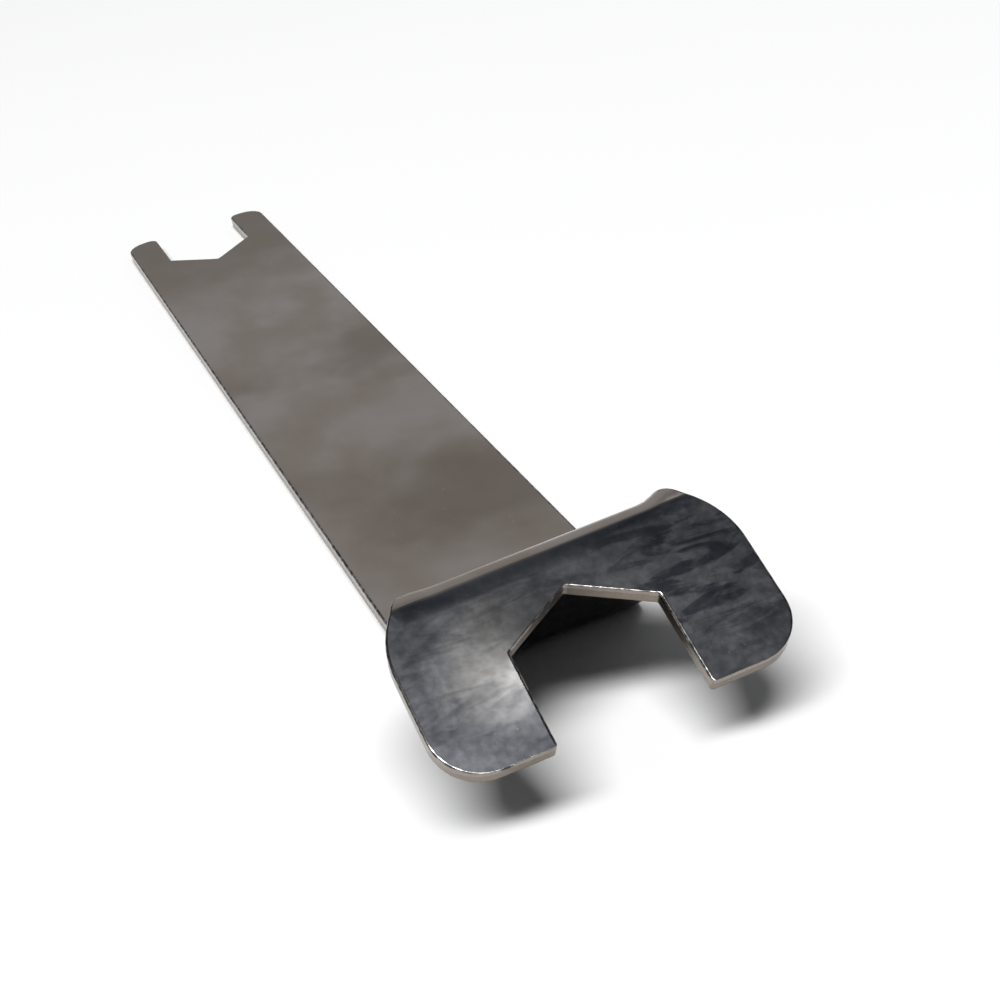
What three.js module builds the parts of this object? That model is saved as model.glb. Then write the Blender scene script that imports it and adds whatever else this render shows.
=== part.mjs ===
// Case back opener: a flat open-ended spanner stamped from one piece of sheet steel.
//
// The blank is a straight strip with a wide jaw plate at one end and a small notch in the other.
// Two folds across the strip lift the jaw plate over the handle and tip it down towards the work,
// so the hand stays clear of the watch case. Nothing is joined on, so the whole tool is one solid.
//
// Frame: millimetres, +Z up, the handle lying on Z = 0 and running towards +Y, the jaw towards -Y.
// The origin is at the centre of the bounding box in X and Y, on the face that the tool rests on.

import * as THREE from 'three';
import { mergeVertices } from 'three/addons/utils/BufferGeometryUtils.js';

// ---------------------------------------------------------------- driving dimensions, mm and degrees

// Sheet
const SHEET_THICKNESS = 1.5;

// Jaw plate, measured from the point of the jaw's V
const JAW_ACROSS_FLATS = 12.0;
const JAW_CORNER_ANGLE = 120.0; // at the point of the V
const JAW_DEPTH = 11.5; // from the point of the V to the prong tips
const PLATE_WIDTH = 28.4;
const PLATE_FRONT_RADIUS = 4.0;
const PLATE_REAR_RADIUS = 7.5;
const PLATE_REAR_START = 1.8; // where the rear corners begin, forward of the point of the V
const PLATE_SLOPE = 27.5;
const PLATE_RISE = 10.4; // the point of the V over the handle's upper face

// Folds
const FOLD_SETBACK = 3.05; // from the point of the V back to the start of the upper fold
const FOLD_ANGLE = 90.0; // between the jaw plate and the web
const FOLD_INNER_RADIUS = 0.5;
const HEEL_INNER_RADIUS = 1.5; // the fold between the web and the handle
const NECK_FILLET_RADIUS = 2.0; // where the jaw plate's rear corners meet the strip

// Handle
const OVERALL_LENGTH = 145.0;
const HANDLE_WIDTH = 19.5;
const HORN_OUTER_ROUNDING = 0.6; // a share of the horn's width
const HORN_INNER_ROUNDING = 0.24;
const NOTCH_ACROSS_FLATS = 11.0;
const NOTCH_DEPTH = 15.6; // from the point of its V to the horn tips
const NOTCH_V_DEPTH = 5.0; // from the point of its V to its two corners

// Facets
const FOLD_STEPS = 10;
const HEEL_STEPS = 8;
const CORNER_STEPS = 14;
const NECK_STEPS = 10;

// ---------------------------------------------------------------- derived sizes

const rad = THREE.MathUtils.degToRad;
const halfSheet = SHEET_THICKNESS / 2;
const halfPlate = PLATE_WIDTH / 2;
const halfHandle = HANDLE_WIDTH / 2;
const halfJaw = JAW_ACROSS_FLATS / 2;
const halfNotch = NOTCH_ACROSS_FLATS / 2;
const hornOuterRadius = HORN_OUTER_ROUNDING * (halfHandle - halfNotch);
const hornInnerRadius = HORN_INNER_ROUNDING * (halfHandle - halfNotch);
const jawCorner = halfJaw / Math.tan(rad(JAW_CORNER_ANGLE / 2));
const slope = rad(PLATE_SLOPE);
const webAngle = rad(FOLD_ANGLE - PLATE_SLOPE); // between the web and the handle
const foldRadius = FOLD_INNER_RADIUS + halfSheet; // of the middle of the sheet
const heelRadius = HEEL_INNER_RADIUS + halfSheet;

// ---------------------------------------------------------------- the sheet's middle line, side on
//
// `reach` is the distance along the flat blank, counted back from the point of the jaw's V. The
// middle line climbs back along the plate, turns down over the upper fold, drops along the web and
// levels out in the heel.

const pointHeight = SHEET_THICKNESS + PLATE_RISE - halfSheet * Math.cos(slope);
const foldHeight = pointHeight + FOLD_SETBACK * Math.sin(slope);
const foldDrop = foldRadius * (Math.cos(slope) - Math.cos(webAngle));
const heelDrop = heelRadius * (1 - Math.cos(webAngle));
const webLength = (foldHeight - halfSheet - foldDrop - heelDrop) / Math.sin(webAngle);

const foldStart = FOLD_SETBACK;
const webStart = foldStart + foldRadius * (slope + webAngle);
const heelStart = webStart + webLength;
const handleStart = heelStart + heelRadius * webAngle;

// A stretch of the middle line: straight, or an arc when it has a radius. `tilt` is the angle that
// the line climbs at on its way back, and `bend` is how fast that angle changes.
function advance(from, length, bend) {
  const tilt = from.tilt + bend * length;
  if (bend === 0) {
    return {
      y: from.y + length * Math.cos(from.tilt),
      z: from.z + length * Math.sin(from.tilt),
      tilt,
    };
  }
  return {
    y: from.y + (Math.sin(tilt) - Math.sin(from.tilt)) / bend,
    z: from.z - (Math.cos(tilt) - Math.cos(from.tilt)) / bend,
    tilt,
  };
}

const atPoint = { y: halfSheet * Math.sin(slope), z: pointHeight, tilt: slope };
const atFold = advance(atPoint, foldStart, 0);
const atWeb = advance(atFold, webStart - foldStart, -1 / foldRadius);
const atHeel = advance(atWeb, webLength, 0);
const atHandle = advance(atHeel, handleStart - heelStart, 1 / heelRadius);

function middleLine(reach) {
  if (reach <= foldStart) return advance(atPoint, reach, 0);
  if (reach <= webStart) return advance(atFold, reach - foldStart, -1 / foldRadius);
  if (reach <= heelStart) return advance(atWeb, reach - webStart, 0);
  if (reach <= handleStart) return advance(atHeel, reach - heelStart, 1 / heelRadius);
  return advance(atHandle, reach - handleStart, 0);
}

// The prong tips' upper edge is the frontmost point, so the handle's end follows from the length.
const tipFront = -JAW_DEPTH * Math.cos(slope);
const handleEnd = handleStart + OVERALL_LENGTH + tipFront - atHandle.y;
const centreY = tipFront + OVERALL_LENGTH / 2;

// A point of the folded sheet: `side` is +1 on the upper face and -1 on the lower one.
function folded(across, reach, side) {
  const { y, z, tilt } = middleLine(reach);
  return new THREE.Vector3(
    across,
    y - side * halfSheet * Math.sin(tilt) - centreY,
    z + side * halfSheet * Math.cos(tilt),
  );
}

// ---------------------------------------------------------------- the flat blank
//
// Points of the blank are Vector2(across, reach).

const rearCentre = new THREE.Vector2(halfPlate - PLATE_REAR_RADIUS, -PLATE_REAR_START);
const neckCentre = new THREE.Vector2(
  halfHandle + NECK_FILLET_RADIUS,
  rearCentre.y + Math.sqrt(
    (PLATE_REAR_RADIUS + NECK_FILLET_RADIUS) ** 2
      - (halfHandle + NECK_FILLET_RADIUS - rearCentre.x) ** 2,
  ),
);
const neckMeets = neckCentre.clone().sub(rearCentre)
  .setLength(PLATE_REAR_RADIUS).add(rearCentre).y;

// The half width of the blank behind the start of the upper fold: the rear corner's arc, then the
// fillet that turns it into the strip's straight edge.
function halfWidth(reach) {
  if (reach <= neckMeets) {
    return rearCentre.x + Math.sqrt(PLATE_REAR_RADIUS ** 2 - (reach - rearCentre.y) ** 2);
  }
  if (reach < neckCentre.y) {
    return neckCentre.x - Math.sqrt(NECK_FILLET_RADIUS ** 2 - (reach - neckCentre.y) ** 2);
  }
  return halfHandle;
}

// Half of the jaw plate's edge, from the fold round the front corner to the point of the V.
function plateEdge() {
  const shape = new THREE.Path();
  const meets = Math.asin((foldStart - rearCentre.y) / PLATE_REAR_RADIUS);
  shape.absarc(rearCentre.x, rearCentre.y, PLATE_REAR_RADIUS, meets, 0, true);
  shape.absarc(
    halfPlate - PLATE_FRONT_RADIUS, PLATE_FRONT_RADIUS - JAW_DEPTH, PLATE_FRONT_RADIUS,
    0, -Math.PI / 2, true,
  );
  shape.lineTo(halfJaw, -JAW_DEPTH);
  shape.lineTo(halfJaw, -jawCorner);
  shape.lineTo(0, 0);
  return shape.getPoints(CORNER_STEPS);
}

// Half of the handle's edge, from the heel round the horn to the point of the far notch.
function handleEdge() {
  const shape = new THREE.Path();
  shape.moveTo(halfHandle, handleStart);
  shape.lineTo(halfHandle, handleEnd - hornOuterRadius);
  shape.absarc(
    halfHandle - hornOuterRadius, handleEnd - hornOuterRadius, hornOuterRadius,
    0, Math.PI / 2, false,
  );
  shape.absarc(
    halfNotch + hornInnerRadius, handleEnd - hornInnerRadius, hornInnerRadius,
    Math.PI / 2, Math.PI, false,
  );
  shape.lineTo(halfNotch, handleEnd - NOTCH_DEPTH + NOTCH_V_DEPTH);
  shape.lineTo(0, handleEnd - NOTCH_DEPTH);
  return shape.getPoints(CORNER_STEPS);
}

// A symmetric outline from its right half, whose last point is on the middle line.
function mirrored(half) {
  const left = half.slice(0, -1).reverse().map((p) => new THREE.Vector2(-p.x, p.y));
  return [...half, ...left];
}

function evenly(from, to, steps) {
  return Array.from({ length: steps }, (_, i) => THREE.MathUtils.lerp(from, to, i / steps));
}

// Where the strip is sliced across: finely over the folds and down the neck's fillet.
function sliceReaches() {
  return [
    ...evenly(foldStart, webStart, FOLD_STEPS),
    ...evenly(webStart, neckCentre.y, NECK_STEPS),
    neckCentre.y,
    ...evenly(heelStart, handleStart, HEEL_STEPS),
    handleStart,
  ];
}

// ---------------------------------------------------------------- the folded solid

function blankGeometry() {
  const plate = mirrored(plateEdge());
  const handle = mirrored(handleEdge());
  const slices = sliceReaches().map((reach) => [
    new THREE.Vector2(halfWidth(reach), reach),
    new THREE.Vector2(-halfWidth(reach), reach),
  ]);
  const triangles = [];

  // Both faces of the sheet over three points of the blank, in either order round.
  function skin(a, b, c) {
    const turn = (b.x - a.x) * (c.y - a.y) - (b.y - a.y) * (c.x - a.x);
    const [p, q, r] = turn > 0 ? [a, b, c] : [a, c, b];
    triangles.push(folded(p.x, p.y, 1), folded(q.x, q.y, 1), folded(r.x, r.y, 1));
    triangles.push(folded(p.x, p.y, -1), folded(r.x, r.y, -1), folded(q.x, q.y, -1));
  }

  // The sheared edge between two neighbouring points of the outline, with the sheet on its left.
  function wall(a, b) {
    const [upperA, upperB] = [folded(a.x, a.y, 1), folded(b.x, b.y, 1)];
    const [lowerA, lowerB] = [folded(a.x, a.y, -1), folded(b.x, b.y, -1)];
    triangles.push(lowerA, lowerB, upperB, lowerA, upperB, upperA);
  }

  for (const outline of [plate, handle]) {
    for (const [i, j, k] of THREE.ShapeUtils.triangulateShape(outline, [])) {
      skin(outline[i], outline[j], outline[k]);
    }
  }
  for (let i = 0; i + 1 < slices.length; i += 1) {
    const [right, left] = slices[i];
    const [nextRight, nextLeft] = slices[i + 1];
    skin(right, nextRight, nextLeft);
    skin(right, nextLeft, left);
    wall(right, nextRight);
    wall(nextLeft, left);
  }
  for (let i = 0; i + 1 < plate.length; i += 1) wall(plate[i + 1], plate[i]);
  for (let i = 0; i + 1 < handle.length; i += 1) wall(handle[i], handle[i + 1]);

  const solid = mergeVertices(new THREE.BufferGeometry().setFromPoints(triangles), 1e-4);
  solid.computeVertexNormals();
  return solid;
}

const steel = new THREE.MeshStandardMaterial({
  color: 0x6b6a6b,
  metalness: 1.0,
  roughness: 0.42,
});

const blade = new THREE.Mesh(blankGeometry(), steel);
blade.name = 'spanner_blade';

const opener = new THREE.Group();
opener.add(blade);

export default opener;
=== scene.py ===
import math

import bpy
import numpy as np
from mathutils import Matrix, Vector, noise
from mathutils.geometry import delaunay_2d_cdt


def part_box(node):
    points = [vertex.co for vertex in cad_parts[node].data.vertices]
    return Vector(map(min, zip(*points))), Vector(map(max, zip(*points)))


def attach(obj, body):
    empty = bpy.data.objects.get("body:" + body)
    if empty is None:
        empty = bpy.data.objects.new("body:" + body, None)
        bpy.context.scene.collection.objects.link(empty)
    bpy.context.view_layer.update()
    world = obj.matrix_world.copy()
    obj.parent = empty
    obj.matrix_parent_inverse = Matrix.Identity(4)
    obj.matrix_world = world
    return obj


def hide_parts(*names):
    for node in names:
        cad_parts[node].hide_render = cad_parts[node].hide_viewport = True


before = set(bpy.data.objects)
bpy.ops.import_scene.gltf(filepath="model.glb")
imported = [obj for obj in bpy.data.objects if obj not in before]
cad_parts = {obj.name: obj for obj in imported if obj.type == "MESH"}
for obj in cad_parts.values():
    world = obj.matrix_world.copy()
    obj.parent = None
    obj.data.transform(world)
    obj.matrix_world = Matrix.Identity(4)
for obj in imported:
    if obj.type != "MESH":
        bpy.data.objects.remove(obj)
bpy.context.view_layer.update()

# The blade is one folded sheet. It is drawn flat, as the blank that was stamped, in millimetres:
# x runs across the blank, and reach runs back along it from the point of the jaw's V. folded()
# then carries each point of the blank to its place on the folded sheet, in metres.

MM = 0.001
NODE = "spanner_blade"

# ------------------------------------------------------------------ sizes of the blank, in mm

low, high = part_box(NODE)
THICKNESS = 1.5
PLATE_HALF = high.x / MM
LENGTH = (high.y - low.y) / MM
HANDLE_HALF = 9.75
JAW_HALF = 6.0
JAW_CORNER = JAW_HALF / math.sqrt(3)
JAW_DEPTH = 11.5
PLATE_SLOPE = math.radians(27.5)
PLATE_RISE = 10.4
PLATE_FRONT_RADIUS = 4.0
PLATE_REAR_RADIUS = 7.5
PLATE_REAR_START = 1.8
FOLD_SETBACK = 3.05
FOLD_RADIUS = 1.25  # of the middle of the sheet
HEEL_RADIUS = 2.25
WEB_ANGLE = math.radians(90.0) - PLATE_SLOPE
NECK_RADIUS = 2.0
HORN_OUTER_RADIUS = 2.55
HORN_INNER_RADIUS = 1.02
NOTCH_HALF = 5.5
NOTCH_DEPTH = 15.6
NOTCH_V_DEPTH = 5.0
SHARP_RADIUS = 0.30  # of a corner that the punch left sharp

# The upper fold runs a little forward and askew. Its ends spring open, as the web doesn't hold them.
FOLD_FORWARD = 0.22
FOLD_SKEW = 0.014
EAR_LIFT_LEFT = 0.20
EAR_LIFT_RIGHT = 0.75
EAR_INSIDE = 8.6
EAR_OUTSIDE = 11.2
EAR_FADE = 5.0

# ------------------------------------------------------------------ the folded middle line

HALF = THICKNESS / 2
POINT_HEIGHT = THICKNESS + PLATE_RISE - HALF * math.cos(PLATE_SLOPE)
FOLD_HEIGHT = POINT_HEIGHT + FOLD_SETBACK * math.sin(PLATE_SLOPE)
FOLD_DROP = FOLD_RADIUS * (math.cos(PLATE_SLOPE) - math.cos(WEB_ANGLE))
HEEL_DROP = HEEL_RADIUS * (1 - math.cos(WEB_ANGLE))
WEB_LENGTH = (FOLD_HEIGHT - HALF - FOLD_DROP - HEEL_DROP) / math.sin(WEB_ANGLE)
WEB_START = FOLD_SETBACK + FOLD_RADIUS * math.radians(90.0)
HEEL_START = WEB_START + WEB_LENGTH
HANDLE_START = HEEL_START + HEEL_RADIUS * WEB_ANGLE
TIP_FRONT = -JAW_DEPTH * math.cos(PLATE_SLOPE)
CENTRE_Y = TIP_FRONT + LENGTH / 2


def advance(place, length, bend):
    """Moves (y, z, tilt) back along the sheet. bend is the change of tilt for each millimetre."""
    y, z, tilt = place
    if bend == 0:
        return y + length * math.cos(tilt), z + length * math.sin(tilt), tilt
    end = tilt + bend * length
    return (
        y + (math.sin(end) - math.sin(tilt)) / bend,
        z - (math.cos(end) - math.cos(tilt)) / bend,
        end,
    )


AT_POINT = (HALF * math.sin(PLATE_SLOPE), POINT_HEIGHT, PLATE_SLOPE)
AT_FOLD = advance(AT_POINT, FOLD_SETBACK, 0)
AT_WEB = advance(AT_FOLD, WEB_START - FOLD_SETBACK, -1 / FOLD_RADIUS)
AT_HEEL = advance(AT_WEB, WEB_LENGTH, 0)
AT_HANDLE = advance(AT_HEEL, HANDLE_START - HEEL_START, 1 / HEEL_RADIUS)


def middle_line(reach):
    """(y, z, tilt) of the middle of the sheet at this reach."""
    if reach <= FOLD_SETBACK:
        return advance(AT_POINT, reach, 0)
    if reach <= WEB_START:
        return advance(AT_FOLD, reach - FOLD_SETBACK, -1 / FOLD_RADIUS)
    if reach <= HEEL_START:
        return advance(AT_WEB, reach - WEB_START, 0)
    if reach <= HANDLE_START:
        return advance(AT_HEEL, reach - HEEL_START, 1 / HEEL_RADIUS)
    return advance(AT_HANDLE, reach - HANDLE_START, 0)


def smoothstep(value, start, end):
    """value from start to end becomes 0 to 1, smoothly and clamped."""
    t = min(max((value - start) / (end - start), 0.0), 1.0)
    return t * t * (3 - 2 * t)


def fold_shift(x, reach):
    """How much further back than FOLD_SETBACK the upper fold starts at this point of the blank."""
    outwards = smoothstep(abs(x), EAR_INSIDE, EAR_OUTSIDE)
    lift = outwards * (EAR_LIFT_RIGHT if x > 0 else EAR_LIFT_LEFT)
    shift = lift - FOLD_FORWARD + FOLD_SKEW * x
    return shift * (1 - smoothstep(reach, WEB_START, WEB_START + EAR_FADE))


def folded(x, reach, depth):
    """The place in metres of a point of the blank, depth mm below its upper face."""
    shift = fold_shift(x, reach)
    y, z, tilt = middle_line(reach - shift)
    y += shift * math.cos(PLATE_SLOPE)
    z += shift * math.sin(PLATE_SLOPE)
    above = HALF - depth
    return Vector((
        x * MM,
        (y - above * math.sin(tilt) - CENTRE_Y) * MM,
        (z + above * math.cos(tilt)) * MM,
    ))


HANDLE_END = HANDLE_START + LENGTH + TIP_FRONT - AT_HANDLE[0]

# ------------------------------------------------------------------ the outline of the blank

PLATE_SPACING = 0.3
HANDLE_SPACING = 0.9


def arc(centre, radius, start, end, spacing):
    """Points on an arc from the angle start to the angle end, without its last point."""
    steps = max(3, math.ceil(abs(end - start) * radius / spacing))
    angles = [start + (end - start) * i / steps for i in range(steps)]
    return [
        (centre[0] + radius * math.cos(a), centre[1] + radius * math.sin(a)) for a in angles
    ]


def line(start, end, spacing):
    """Points from start to end, without its last point."""
    steps = max(1, math.ceil(math.dist(start, end) / spacing))
    return [
        (start[0] + (end[0] - start[0]) * i / steps, start[1] + (end[1] - start[1]) * i / steps)
        for i in range(steps)
    ]


def chain(corners, spacing):
    """Straight lines through corners, given as (x, reach, radius), with each corner rounded. It
    starts at the first corner and stops short of the last one."""
    points = []
    here = corners[0][:2]
    for before, (x, reach, radius), after in zip(corners, corners[1:], corners[2:]):
        corner = Vector((x, reach))
        back = (Vector(before[:2]) - corner).normalized()
        ahead = (Vector(after[:2]) - corner).normalized()
        half_angle = back.angle(ahead) / 2
        cut = radius / math.tan(half_angle)
        centre = corner + (back + ahead).normalized() * radius / math.sin(half_angle)
        enter = corner + back * cut
        leave = corner + ahead * cut
        start = math.atan2(enter.y - centre.y, enter.x - centre.x)
        end = math.atan2(leave.y - centre.y, leave.x - centre.x)
        turn = (end - start + math.pi) % (2 * math.pi) - math.pi
        points += line(here, enter, spacing)
        points += arc(centre, radius, start, start + turn, min(spacing, radius / 3))
        here = tuple(leave)
    points += line(here, corners[-1][:2], spacing)
    return points


def right_half():
    """The blank's right edge, from the point of the jaw's V to the point of the far notch."""
    rear = (PLATE_HALF - PLATE_REAR_RADIUS, -PLATE_REAR_START)
    apart = PLATE_REAR_RADIUS + NECK_RADIUS
    neck_x = HANDLE_HALF + NECK_RADIUS
    neck = (neck_x, rear[1] + math.sqrt(apart**2 - (neck_x - rear[0]) ** 2))
    meets = math.atan2(neck[1] - rear[1], neck[0] - rear[0])
    plate = chain(
        [
            (0.0, 0.0, 0),
            (JAW_HALF, -JAW_CORNER, SHARP_RADIUS),
            (JAW_HALF, -JAW_DEPTH, SHARP_RADIUS),
            (PLATE_HALF, -JAW_DEPTH, PLATE_FRONT_RADIUS),
            (PLATE_HALF, rear[1], 0),
        ],
        PLATE_SPACING,
    )
    plate += arc(rear, PLATE_REAR_RADIUS, 0, meets, PLATE_SPACING)
    plate += arc(neck, NECK_RADIUS, meets + math.pi, math.pi, PLATE_SPACING / 2)
    handle = chain(
        [
            (HANDLE_HALF, neck[1], 0),
            (HANDLE_HALF, HANDLE_END, HORN_OUTER_RADIUS),
            (NOTCH_HALF, HANDLE_END, HORN_INNER_RADIUS),
            (NOTCH_HALF, HANDLE_END - NOTCH_DEPTH + NOTCH_V_DEPTH, SHARP_RADIUS),
            (0.0, HANDLE_END - NOTCH_DEPTH, 0),
        ],
        HANDLE_SPACING,
    )
    return plate + handle


def whole_outline():
    """The closed outline as an array, with the sheet always on its left."""
    right = right_half()
    notch_point = (0.0, HANDLE_END - NOTCH_DEPTH)
    left = [(-x, reach) for x, reach in reversed(right[1:])]
    return np.array([*right, notch_point, *left])


def inward_normals(outline):
    """Unit vectors into the sheet, stretched at corners so that an inset stays parallel."""
    ahead = np.roll(outline, -1, axis=0) - outline
    ahead /= np.linalg.norm(ahead, axis=1, keepdims=True)
    left = np.column_stack([-ahead[:, 1], ahead[:, 0]])
    both = left + np.roll(left, 1, axis=0)
    both /= np.linalg.norm(both, axis=1, keepdims=True)
    return both / (both * left).sum(axis=1, keepdims=True)


# ------------------------------------------------------------------ the sheared edge
#
# The section of the edge from the upper face down: how far inside the outline it is, and how deep.
# The punch rolled the upper rim over, burnished the top of the wall and tore the rest of it.

EDGE_SECTION = (
    (0.230, 0.000),
    (0.135, 0.014),
    (0.065, 0.045),
    (0.018, 0.105),
    (0.000, 0.190),
    (0.000, 0.520),
    (0.018, 0.680),
    (0.035, 1.000),
    (0.040, 1.300),
    (0.050, 1.430),
    (0.095, 1.485),
    (0.150, 1.500),
)
RIM_ROWS = 4  # of the section, where the skin of the upper face is rolled over
SHARPEST_ROLL = 0.12  # share of the roll that is left on an edge that runs straight across
RAGGED = 0.022  # how uneven the rows from RAGGED_FROM up to RAGGED_TO are
RAGGED_FROM = 3
RAGGED_TO = 10


def ragged(x, reach, row):
    """A small unevenness of the edge, in mm, that differs along it and down it."""
    slow = noise.noise(Vector((x * 0.9, reach * 0.9, row * 0.35)))
    fine = noise.noise(Vector((x * 3.1, reach * 3.1, 7.0 + row * 0.8)))
    return RAGGED * (slow + 0.6 * fine)


def edge_rings(outline):
    """One ring of (x, reach, depth) for each row of the section. An edge that runs back along the
    tool is rolled over fully, and one that runs straight across it only a little."""
    inward = inward_normals(outline)
    sideways = (inward[:, 0] / np.linalg.norm(inward, axis=1)) ** 2
    roll = SHARPEST_ROLL + (1 - SHARPEST_ROLL) * sideways
    rings = []
    for row, (inset, depth) in enumerate(EDGE_SECTION):
        share = roll if row <= RIM_ROWS else np.ones(len(outline))
        moved = outline + inward * (inset * share)[:, None]
        if RAGGED_FROM <= row < RAGGED_TO:
            off = [ragged(x, reach, row) for x, reach in outline]
            moved = moved + inward * np.abs(off)[:, None]
        depths = depth * share
        rings.append([(x, reach, down) for (x, reach), down in zip(moved, depths)])
    return rings


# ------------------------------------------------------------------ the two faces

UPPER_FACE, LOWER_FACE, RIM, WALL = range(4)

FACE_PITCH = 2.4
FOLD_PITCH = 0.7
NECK_PITCH = 0.8  # of the web's top, where the lifted ends fade out
WEB_PITCH = 1.6
STRETCH_GAP = 1.2  # from the last row of one stretch to the first of the next
FOLD_ROWS = 20
HEEL_ROWS = 10
RIM_CLEARANCE = 0.35
NORMAL_STEP = 0.05
WARP = 0.035
CURL_CENTRE = (-4.2, -3.6)  # the corner of the jaw that the punch lifted a little
CURL_RADIUS = 3.6
CURL_LIFT = 0.20


def inside(points, ring, clearance):
    """Which points are within the ring and at least clearance from it."""
    a = ring
    b = np.roll(ring, -1, axis=0)
    kept = []
    for p in points:
        crosses = (a[:, 1] > p[1]) != (b[:, 1] > p[1])
        rise = np.where(crosses, b[:, 1] - a[:, 1], 1.0)
        at = a[:, 0] + (p[1] - a[:, 1]) * (b[:, 0] - a[:, 0]) / rise
        if not (crosses & (at > p[0])).sum() % 2:
            continue
        along = b - a
        share = ((p - a) * along).sum(axis=1) / (along * along).sum(axis=1)
        nearest = a + np.clip(share, 0, 1)[:, None] * along
        if np.linalg.norm(nearest - p, axis=1).min() > clearance:
            kept.append(p)
    return kept


def row_reaches():
    """(reach, pitch across) for each row of points inside the faces."""
    front = np.arange(-JAW_DEPTH + 1, FOLD_SETBACK - 1, FACE_PITCH)
    fold = np.linspace(FOLD_SETBACK, WEB_START, FOLD_ROWS)
    neck = np.arange(WEB_START + NECK_PITCH / 2, WEB_START + EAR_FADE, NECK_PITCH)
    web = np.arange(neck[-1] + STRETCH_GAP, HEEL_START - STRETCH_GAP / 2, WEB_PITCH)
    heel = np.linspace(HEEL_START, HANDLE_START, HEEL_ROWS)
    back = np.arange(HANDLE_START + STRETCH_GAP, HANDLE_END, FACE_PITCH)
    coarse = [(r, FACE_PITCH) for r in (*front, *web, *back)]
    return coarse + [(r, FOLD_PITCH) for r in (*fold, *neck, *heel)]


def face_points(rim):
    """Points inside the face, at least RIM_CLEARANCE from its rim."""
    points = []
    for reach, pitch in row_reaches():
        count = round(PLATE_HALF / pitch)
        points += [np.array((pitch * i, reach)) for i in range(-count, count + 1)]
    return inside(points, rim, RIM_CLEARANCE)


def triangulated(rim):
    """(extra points, triangles over the rim's points and then the extra ones)."""
    extra = face_points(rim)
    points = [Vector(p) for p in rim] + [Vector(p) for p in extra]
    count = len(rim)
    edges = [(i, (i + 1) % count) for i in range(count)]
    _, _, faces, origins, _, _ = delaunay_2d_cdt(points, edges, [], 1, 1e-7)
    source = [found[0] for found in origins]
    return extra, [tuple(source[i] for i in face) for face in faces]


def warp(x, reach):
    """How far rolling, punching and folding left the sheet from flat, in mm. It fades out over the
    back of the handle, which lies flat on the table."""
    slow = noise.noise(Vector((x * 0.07, reach * 0.05, 3.0)))
    quick = noise.noise(Vector((x * 0.21, reach * 0.16, 11.0)))
    off_corner = math.dist((x, reach), CURL_CENTRE) / CURL_RADIUS
    curl = CURL_LIFT * math.exp(-off_corner * off_corner)
    resting = smoothstep(reach, HEEL_START - 4, HANDLE_START)
    return (WARP * (slow + 0.4 * quick) - curl) * (1 - resting)


def surface(x, reach, depth):
    """The place in metres of a point of the sheet, with its small unevenness."""
    return folded(x, reach, depth + warp(x, reach))


def sheet_normal(x, reach):
    """The upper face's normal at this point of the blank."""
    across = surface(x + NORMAL_STEP, reach, 0) - surface(x - NORMAL_STEP, reach, 0)
    back = surface(x, reach + NORMAL_STEP, 0) - surface(x, reach - NORMAL_STEP, 0)
    return across.cross(back).normalized()


def build_blade():
    outline = whole_outline()
    rings = edge_rings(outline)
    rim = np.array([(x, reach) for x, reach, _ in rings[0]])
    extra, triangles = triangulated(rim)
    count = len(outline)
    flat = [point for ring in rings for point in ring]
    upper_first = len(flat)
    flat += [(x, reach, 0.0) for x, reach in extra]
    lower_first = len(flat)
    flat += [(x, reach, THICKNESS) for x, reach in extra]
    last_ring = (len(rings) - 1) * count

    def upper(i):
        return i if i < count else upper_first + i - count

    def lower(i):
        return last_ring + i if i < count else lower_first + i - count

    faces = []
    for a, b, c in triangles:
        faces.append((upper(a), upper(b), upper(c)))
        faces.append((lower(a), lower(c), lower(b)))
    face_count = len(faces)
    for row in range(len(rings) - 1):
        for i in range(count):
            j = (i + 1) % count
            faces.append((
                row * count + i,
                (row + 1) * count + i,
                (row + 1) * count + j,
                row * count + j,
            ))
    mesh = bpy.data.meshes.new("blade")
    mesh.from_pydata([surface(*point) for point in flat], [], faces)
    mark_faces(mesh, outline, flat, face_count, count)
    level_faces(mesh, flat, count, last_ring)
    return mesh


def level_faces(mesh, flat, count, last_ring):
    """Makes both faces shade evenly right up to their rims."""
    normals = [vertex.normal.copy() for vertex in mesh.vertices]
    for i, (x, reach, depth) in enumerate(flat):
        if i < count or i >= last_ring:
            upwards = sheet_normal(x, reach)
            normals[i] = upwards if depth == 0 else -upwards
    mesh.normals_split_custom_set_from_vertices(normals)


def mark_faces(mesh, outline, flat, face_count, count):
    """Gives each part of the skin its material, and the sheared wall a map along and down it."""
    steps = np.linalg.norm(np.roll(outline, -1, axis=0) - outline, axis=1)
    runs = np.concatenate([[0.0], np.cumsum(steps)])
    wall_map = mesh.uv_layers.new(name="wall")
    for polygon in mesh.polygons:
        polygon.use_smooth = True
        if polygon.index < face_count:
            polygon.material_index = UPPER_FACE if polygon.index % 2 == 0 else LOWER_FACE
            continue
        row = (polygon.index - face_count) // count
        polygon.material_index = RIM if row < RIM_ROWS else WALL
        column = (polygon.index - face_count) % count
        for loop in polygon.loop_indices:
            vertex = mesh.loops[loop].vertex_index
            at = vertex % count
            run = runs[column + 1] if at != column else runs[column]
            wall_map.data[loop].uv = (run * MM, flat[vertex][2] * MM)


# ------------------------------------------------------------------ materials

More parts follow.
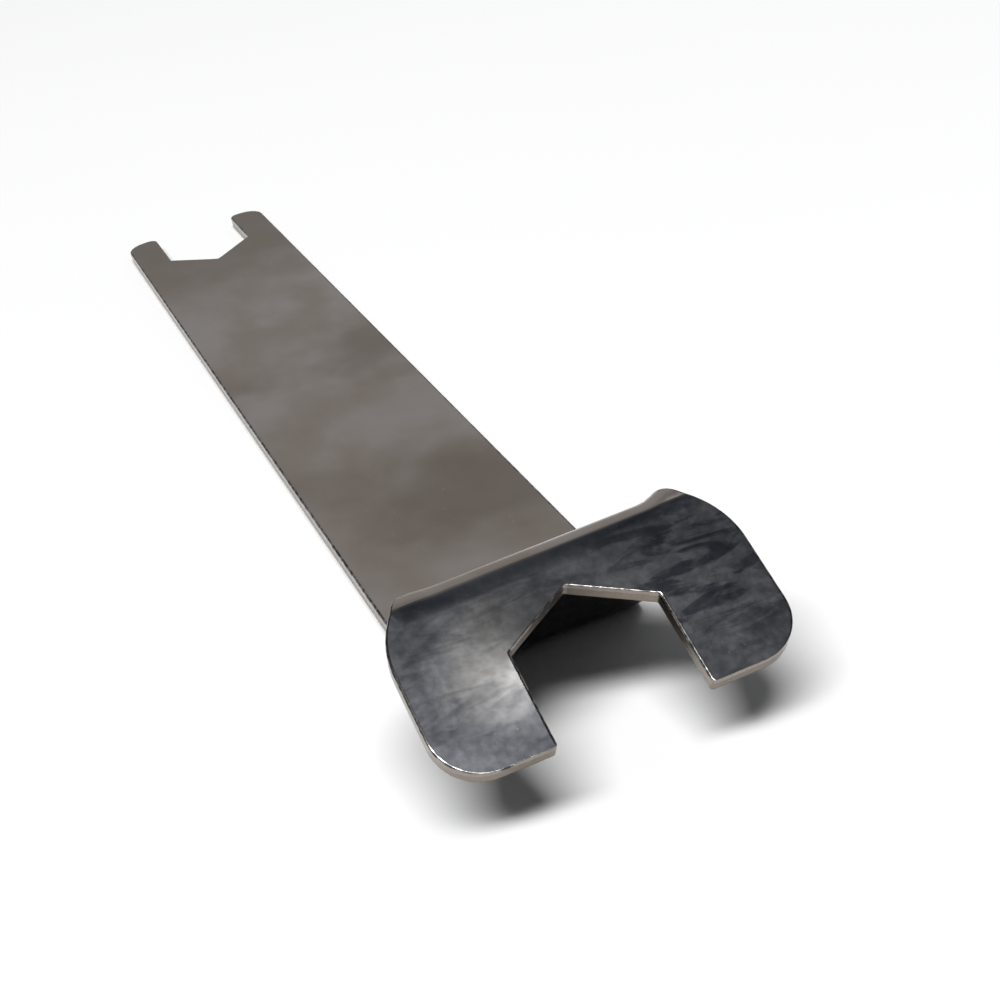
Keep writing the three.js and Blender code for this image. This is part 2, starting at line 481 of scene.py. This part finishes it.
# (x, y) of the centre in mm, the radius in mm and the strength of each dark patch on the handle.
# The first, on the right near the head, is a painted shadow of the web; the rest are stains.
HANDLE_STAINS_AND_WEB_SHADOW = (
    ((6.0, -26.0), 17.0, 0.75),
    ((9.0, 13.0), 12.0, 0.60),
    ((-9.0, -16.0), 8.0, 0.35),
    ((-9.0, 14.0), 7.0, 0.40),
    ((0.0, 72.0), 38.0, 0.80),
)
# The plate's darker smears grow strongest about this spot on its right; centre (x, y, z) and radius
# in mm.
RIGHT_SMEARS_CENTRE = (9.5, -64.5, 11.5)
RIGHT_SMEARS_RADIUS = 9.0
# A painted highlight: a pale spot at the jaw's left corner; its centre (x, y, z) and radius in mm.
CORNER_HIGHLIGHT_CENTRE = (-7.2, -65.6, 10.5)
CORNER_HIGHLIGHT_RADIUS = 6.4
# Painted sheen: a paler spot over the left of the plate, behind the jaw's V; centre (x, y, z) and
# radius in mm.
LEFT_SHEEN_CENTRE = (-1.5, -61.5, 12.3)
LEFT_SHEEN_RADIUS = 9.5


class Nodes:
    """A short way to add and link shader nodes."""

    def __init__(self, owner):
        self.tree = owner.node_tree
        self.shader = self.tree.nodes.get("Principled BSDF")

    def add(self, kind, **settings):
        node = self.tree.nodes.new(kind)
        for key, value in settings.items():
            setattr(node, key, value)
        return node

    def link(self, source, target):
        self.tree.links.new(source, target)

    def coordinates(self, scale=(1, 1, 1)):
        """The piece's own coordinates, in metres, scaled by axis."""
        where = self.add("ShaderNodeTexCoord").outputs["Object"]
        mapping = self.add("ShaderNodeMapping")
        mapping.inputs["Scale"].default_value = scale
        self.link(where, mapping.inputs["Vector"])
        return mapping.outputs["Vector"]

    def noise(self, vector, scale, detail=4.0, roughness=0.55, distortion=0.0):
        node = self.add("ShaderNodeTexNoise")
        node.inputs["Scale"].default_value = scale
        node.inputs["Detail"].default_value = detail
        node.inputs["Roughness"].default_value = roughness
        node.inputs["Distortion"].default_value = distortion
        self.link(vector, node.inputs["Vector"])
        return node.outputs["Fac"]

    def wander(self, vector, scale, amount):
        """The vector moved about by a noise, by up to about amount metres."""
        node = self.add("ShaderNodeTexNoise")
        node.inputs["Scale"].default_value = scale
        self.link(vector, node.inputs["Vector"])
        centred = self.add("ShaderNodeVectorMath", operation="SUBTRACT")
        self.link(node.outputs["Color"], centred.inputs[0])
        centred.inputs[1].default_value = (0.5, 0.5, 0.5)
        moved = self.add("ShaderNodeVectorMath", operation="MULTIPLY_ADD")
        self.link(centred.outputs["Vector"], moved.inputs[0])
        moved.inputs[1].default_value = (amount * 2, amount * 2, 0)
        self.link(vector, moved.inputs[2])
        return moved.outputs["Vector"]

    def spot(self, vector, centre, radius, strength):
        """strength at a centre given in mm, fading to nothing at the radius."""
        node = self.add("ShaderNodeVectorMath", operation="DISTANCE")
        self.link(vector, node.inputs[0])
        node.inputs[1].default_value = [value * MM for value in centre]
        return self.spread(node.outputs["Value"], radius * MM, radius * MM * 0.2, 0.0, strength)

    def spread(self, value, start, end, low=0.0, high=1.0):
        """value from start to end becomes low to high, smoothly and clamped."""
        node = self.add("ShaderNodeMapRange", interpolation_type="SMOOTHSTEP")
        names = ("From Min", "From Max", "To Min", "To Max")
        for name, number in zip(names, (start, end, low, high)):
            node.inputs[name].default_value = number
        self.link(value, node.inputs["Value"])
        return node.outputs["Result"]

    def maths(self, operation, a, b):
        node = self.add("ShaderNodeMath", operation=operation)
        for socket, value in zip(node.inputs, (a, b)):
            if isinstance(value, (int, float)):
                socket.default_value = value
            else:
                self.link(value, socket)
        return node.outputs["Value"]

    def mix(self, share, a, b):
        """The colour a turning into b as share goes from 0 to 1."""
        node = self.add("ShaderNodeMix", data_type="RGBA")
        if isinstance(share, (int, float)):
            node.inputs["Factor"].default_value = share
        else:
            self.link(share, node.inputs["Factor"])
        for name, colour in (("A", a), ("B", b)):
            socket = next(s for s in node.inputs if s.name == name and s.type == "RGBA")
            if isinstance(colour, tuple):
                socket.default_value = (*colour, 1.0)
            else:
                self.link(colour, socket)
        return next(s for s in node.outputs if s.type == "RGBA")

    def bump(self, height, strength, distance, below=None):
        node = self.add("ShaderNodeBump")
        node.inputs["Strength"].default_value = strength
        node.inputs["Distance"].default_value = distance
        self.link(height, node.inputs["Height"])
        if below:
            self.link(below, node.inputs["Normal"])
        return node.outputs["Normal"]


def new_material(name):
    material = bpy.data.materials.new(name)
    material.use_nodes = True
    return material


def handle_colour(n, where, patches):
    """Warm grey, with brown stains and a painted shadow of the web on the right near the head."""
    clouds = n.noise(n.coordinates((1.0, 0.7, 1.0)), 120.0, detail=3.0, roughness=0.5)
    warm = n.mix(n.spread(clouds, 0.34, 0.64), (0.47, 0.400, 0.345), (0.58, 0.525, 0.490))
    warm = n.mix(n.spread(patches, 0.35, 0.70, 0.0, 0.30), warm, (0.50, 0.440, 0.390))
    astray = n.wander(where, 140.0, 0.007)
    # The first patch is a painted shadow of the web on the handle; the others are stains.
    for centre, radius, strength in HANDLE_STAINS_AND_WEB_SHADOW:
        stain_or_web_shadow = n.spot(astray, (*centre, THICKNESS), radius, strength)
        warm = n.mix(stain_or_web_shadow, warm, (0.300, 0.245, 0.195))
    return warm


def plate_colour(n, where, patches, fine, smears, at_fold):
    """Cool gunmetal, mottled and smeared, with painted sheen over the left of the plate, a painted
    highlight at the jaw's left corner, darker smears mostly on its right, and darkest along the
    fold.
    """
    cool = n.mix(n.spread(fine, 0.28, 0.72), (0.300, 0.310, 0.345), (0.385, 0.390, 0.415))
    cool = n.mix(n.spread(patches, 0.40, 0.68, 0.0, 0.55), cool, (0.240, 0.250, 0.285))
    astray = n.wander(where, 200.0, 0.004)
    # Painted sheen: a paler spot over the left of the plate.
    left_sheen = n.spot(astray, LEFT_SHEEN_CENTRE, LEFT_SHEEN_RADIUS, 0.60)
    cool = n.mix(left_sheen, cool, (0.500, 0.505, 0.530))
    # Painted highlight: a pale spot at the jaw's left corner.
    corner_highlight = n.spot(astray, CORNER_HIGHLIGHT_CENTRE, CORNER_HIGHLIGHT_RADIUS, 0.90)
    cool = n.mix(corner_highlight, cool, (0.680, 0.665, 0.650))
    # The darker smears are strongest on the right of the plate.
    right_smears = n.spot(astray, RIGHT_SMEARS_CENTRE, RIGHT_SMEARS_RADIUS, 0.70)
    darker = n.maths("MULTIPLY", n.spread(smears, 0.46, 0.60), n.maths("ADD", right_smears, 0.22))
    cool = n.mix(darker, cool, (0.120, 0.130, 0.165))
    return n.mix(n.maths("MULTIPLY", at_fold, 0.6), cool, (0.100, 0.110, 0.160))


def upper_steel():
    """Bare rolled sheet: cool and dark on the jaw plate, with a painted highlight and painted sheen
    on its left; warmer and stained along the handle, with a painted shadow of the web near the head.
    """
    material = new_material("upper_steel")
    n = Nodes(material)
    where = n.coordinates()
    separate = n.add("ShaderNodeSeparateXYZ")
    n.link(where, separate.inputs["Vector"])
    fold = (AT_FOLD[0] - CENTRE_Y) * MM
    skew = n.maths("MULTIPLY", separate.outputs["X"], FOLD_SKEW)
    skewed = n.maths("SUBTRACT", separate.outputs["Y"], skew)
    on_plate = n.spread(skewed, fold + 0.00005, fold - 0.00035)
    at_fold = n.spread(skewed, fold - 0.0018, fold - 0.0003)

    fine = n.noise(where, 1300.0, detail=4.0, roughness=0.6)
    patches = n.noise(where, 270.0, detail=3.0, roughness=0.55, distortion=0.4)
    across = n.coordinates((0.30, 1.0, 1.0))
    smears = n.noise(across, 620.0, detail=4.0, roughness=0.6, distortion=0.9)
    specks = n.noise(where, 3600.0, detail=1.0)

    warm = handle_colour(n, where, patches)
    cool = plate_colour(n, where, patches, fine, smears, at_fold)
    colour = n.mix(on_plate, warm, cool)
    colour = n.mix(n.spread(specks, 0.74, 0.82, 0.0, 0.6), colour, (0.75, 0.75, 0.76))
    n.link(colour, n.shader.inputs["Base Color"])

    even = n.spread(fine, 0.30, 0.70, 0.190, 0.208)
    clouded = n.spread(patches, 0.35, 0.65, 0.018, 0.0)
    polished = n.spread(smears, 0.52, 0.70, 0.0, -0.015)
    on_head = n.maths("ADD", n.maths("ADD", even, clouded), polished)
    on_handle = n.spread(on_plate, 0.0, 1.0, 0.30, 0.0)
    n.link(n.maths("MAXIMUM", on_head, on_handle), n.shader.inputs["Roughness"])
    n.shader.inputs["Metallic"].default_value = 1.0

    grain = n.noise(n.coordinates((1.0, 0.2, 1.0)), 3200.0, detail=3.0)
    coarse = n.bump(patches, 0.10, 0.00004)
    n.link(n.bump(grain, 0.06, 0.00001, below=coarse), n.shader.inputs["Normal"])
    return material


def painted_shade_lower_steel():
    """The lower face, under the plate and inside the web: near black and even as painted shade, and
    a little streaked by the rolling.
    """
    material = new_material("painted_shade_lower_steel")
    n = Nodes(material)
    where = n.coordinates()
    streaks = n.noise(n.coordinates((1.0, 0.12, 1.0)), 900.0, detail=4.0)
    patches = n.noise(where, 180.0, detail=3.0)
    # Painted shade: the lower face is near black so that it stays dark in the shade under the plate.
    dark = n.mix(n.spread(streaks, 0.35, 0.65), (0.075, 0.075, 0.080), (0.115, 0.115, 0.120))
    colour = n.mix(n.spread(patches, 0.45, 0.70, 0.0, 0.6), dark, (0.055, 0.055, 0.058))
    n.link(colour, n.shader.inputs["Base Color"])
    n.link(n.spread(patches, 0.30, 0.70, 0.18, 0.26), n.shader.inputs["Roughness"])
    n.shader.inputs["Metallic"].default_value = 1.0
    n.link(n.bump(streaks, 0.10, 0.00001), n.shader.inputs["Normal"])
    return material


def rim_steel():
    """The rolled-over rim, which rubbing has polished."""
    material = new_material("rim_steel")
    n = Nodes(material)
    nicks = n.noise(n.coordinates(), 1700.0, detail=3.0)
    colour = n.mix(n.spread(nicks, 0.38, 0.62), (0.07, 0.068, 0.070), (0.36, 0.345, 0.325))
    n.link(colour, n.shader.inputs["Base Color"])
    n.link(n.spread(nicks, 0.35, 0.65, 0.20, 0.11), n.shader.inputs["Roughness"])
    n.shader.inputs["Metallic"].default_value = 1.0
    n.link(n.bump(nicks, 0.25, 0.00002), n.shader.inputs["Normal"])
    return material


def sheared_steel():
    """The wall that the punch left: a burnished band under the rim and a torn, tan one below it."""
    material = new_material("sheared_steel")
    n = Nodes(material)
    wall = n.add("ShaderNodeUVMap", uv_map="wall").outputs["UV"]
    separate = n.add("ShaderNodeSeparateXYZ")
    n.link(wall, separate.inputs["Vector"])
    stretch = n.add("ShaderNodeMapping")
    stretch.inputs["Scale"].default_value = (1.0, 0.16, 1.0)
    n.link(wall, stretch.inputs["Vector"])
    streaks = n.noise(stretch.outputs["Vector"], 5200.0, detail=4.0, roughness=0.6)
    patches = n.noise(wall, 900.0, detail=3.0)
    astray = n.spread(patches, 0.3, 0.7, -0.0001, 0.0001)
    edge_line = n.maths("ADD", separate.outputs["Y"], astray)
    torn = n.spread(edge_line, 0.00034, 0.00056)

    burnished = n.mix(streaks, (0.22, 0.195, 0.170), (0.30, 0.270, 0.240))
    rough = n.mix(streaks, (0.175, 0.142, 0.110), (0.250, 0.208, 0.168))
    colour = n.mix(torn, burnished, rough)
    colour = n.mix(n.spread(patches, 0.58, 0.74, 0.0, 0.5), colour, (0.13, 0.11, 0.09))
    n.link(colour, n.shader.inputs["Base Color"])
    n.link(n.spread(torn, 0.0, 1.0, 0.20, 0.30), n.shader.inputs["Roughness"])
    n.shader.inputs["Metallic"].default_value = 1.0
    n.link(n.bump(streaks, 0.3, 0.00002), n.shader.inputs["Normal"])
    return material


def table_top():
    """Plain white paper, with no shine."""
    material = new_material("table_top")
    n = Nodes(material)
    where = n.coordinates()
    cloud = n.noise(where, 6.0, detail=2.0)
    n.link(n.mix(cloud, (0.81, 0.81, 0.815), (0.84, 0.84, 0.84)), n.shader.inputs["Base Color"])
    n.shader.inputs["Roughness"].default_value = 1.0
    n.shader.inputs["Specular IOR Level"].default_value = 0.0
    return material


# ------------------------------------------------------------------ the object


def make_blade():
    blade = bpy.data.objects.new("blade", build_blade())
    bpy.context.scene.collection.objects.link(blade)
    for material in (upper_steel(), painted_shade_lower_steel(), rim_steel(), sheared_steel()):
        blade.data.materials.append(material)
    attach(blade, "root")
    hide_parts(NODE)
    return blade


# ------------------------------------------------------------------ the studio

TABLE_SIZE = 3.0
SOFTBOX_SIZE = (2.74, 0.80)
SOFTBOX_FROM_HEAD = Vector((-0.71, -0.81, 3.0))
SOFTBOX_POWER = 142.0
CAMERA_HEADING = math.radians(16.36)
CAMERA_PITCH = math.radians(29.32)
CAMERA_ROLL = math.radians(12.2)
CAMERA_FROM_POINT = Vector((-0.03213, -0.09788, 0.06585))
CAMERA_LENS = 60.44
POINT_OF_V = Vector((0, -CENTRE_Y * MM, (THICKNESS + PLATE_RISE) * MM))


def make_table():
    mesh = bpy.data.meshes.new("table")
    side = TABLE_SIZE / 2
    corners = [(-side, -side, 0), (side, -side, 0), (side, side, 0), (-side, side, 0)]
    mesh.from_pydata(corners, [], [(0, 1, 2, 3)])
    table = bpy.data.objects.new("table", mesh)
    table.data.materials.append(table_top())
    bpy.context.scene.collection.objects.link(table)


def make_surroundings():
    """A dim room: palest behind the part, a little paler on its right, and darker overhead and in
    front."""
    world = bpy.data.worlds.new("studio")
    world.use_nodes = True
    n = Nodes(world)
    separate = n.add("ShaderNodeSeparateXYZ")
    n.link(n.add("ShaderNodeTexCoord").outputs["Generated"], separate.inputs["Vector"])
    upwards = n.spread(separate.outputs["Z"], 0.75, 0.98, 1.0, 0.30)
    backwards = n.spread(separate.outputs["Y"], -0.1, 0.8, 0.02, 0.34)
    rightwards = n.spread(separate.outputs["X"], 0.3, 0.8, 0.0, 0.16)
    background = n.tree.nodes["Background"]
    background.inputs["Color"].default_value = (0.97, 0.98, 1.0, 1.0)
    around = n.maths("ADD", backwards, rightwards)
    n.link(n.maths("MULTIPLY", upwards, around), background.inputs["Strength"])
    bpy.context.scene.world = world


def make_softbox():
    """One long softbox overhead, a little to the left and in front of the head."""
    data = bpy.data.lights.new("softbox", "AREA")
    data.shape = "RECTANGLE"
    data.size, data.size_y = SOFTBOX_SIZE
    data.energy = SOFTBOX_POWER
    softbox = bpy.data.objects.new("softbox", data)
    softbox.location = Vector((0, -CENTRE_Y * MM, 0)) + SOFTBOX_FROM_HEAD
    softbox.rotation_euler = (0, 0, -CAMERA_HEADING)
    bpy.context.scene.collection.objects.link(softbox)


def make_studio():
    make_table()
    make_surroundings()
    make_softbox()


def make_camera():
    data = bpy.data.cameras.new("camera")
    data.lens = CAMERA_LENS
    data.clip_start = 0.005
    camera = bpy.data.objects.new("camera", data)
    turn = Matrix.Rotation(-CAMERA_HEADING, 4, "Z")
    tilt = Matrix.Rotation(math.pi / 2 - CAMERA_PITCH, 4, "X")
    roll = Matrix.Rotation(-CAMERA_ROLL, 4, "Z")
    camera.matrix_world = Matrix.Translation(POINT_OF_V + CAMERA_FROM_POINT) @ turn @ tilt @ roll
    bpy.context.scene.collection.objects.link(camera)
    bpy.context.scene.camera = camera


make_blade()
make_studio()
make_camera()
bpy.context.scene.view_settings.view_transform = "Standard"
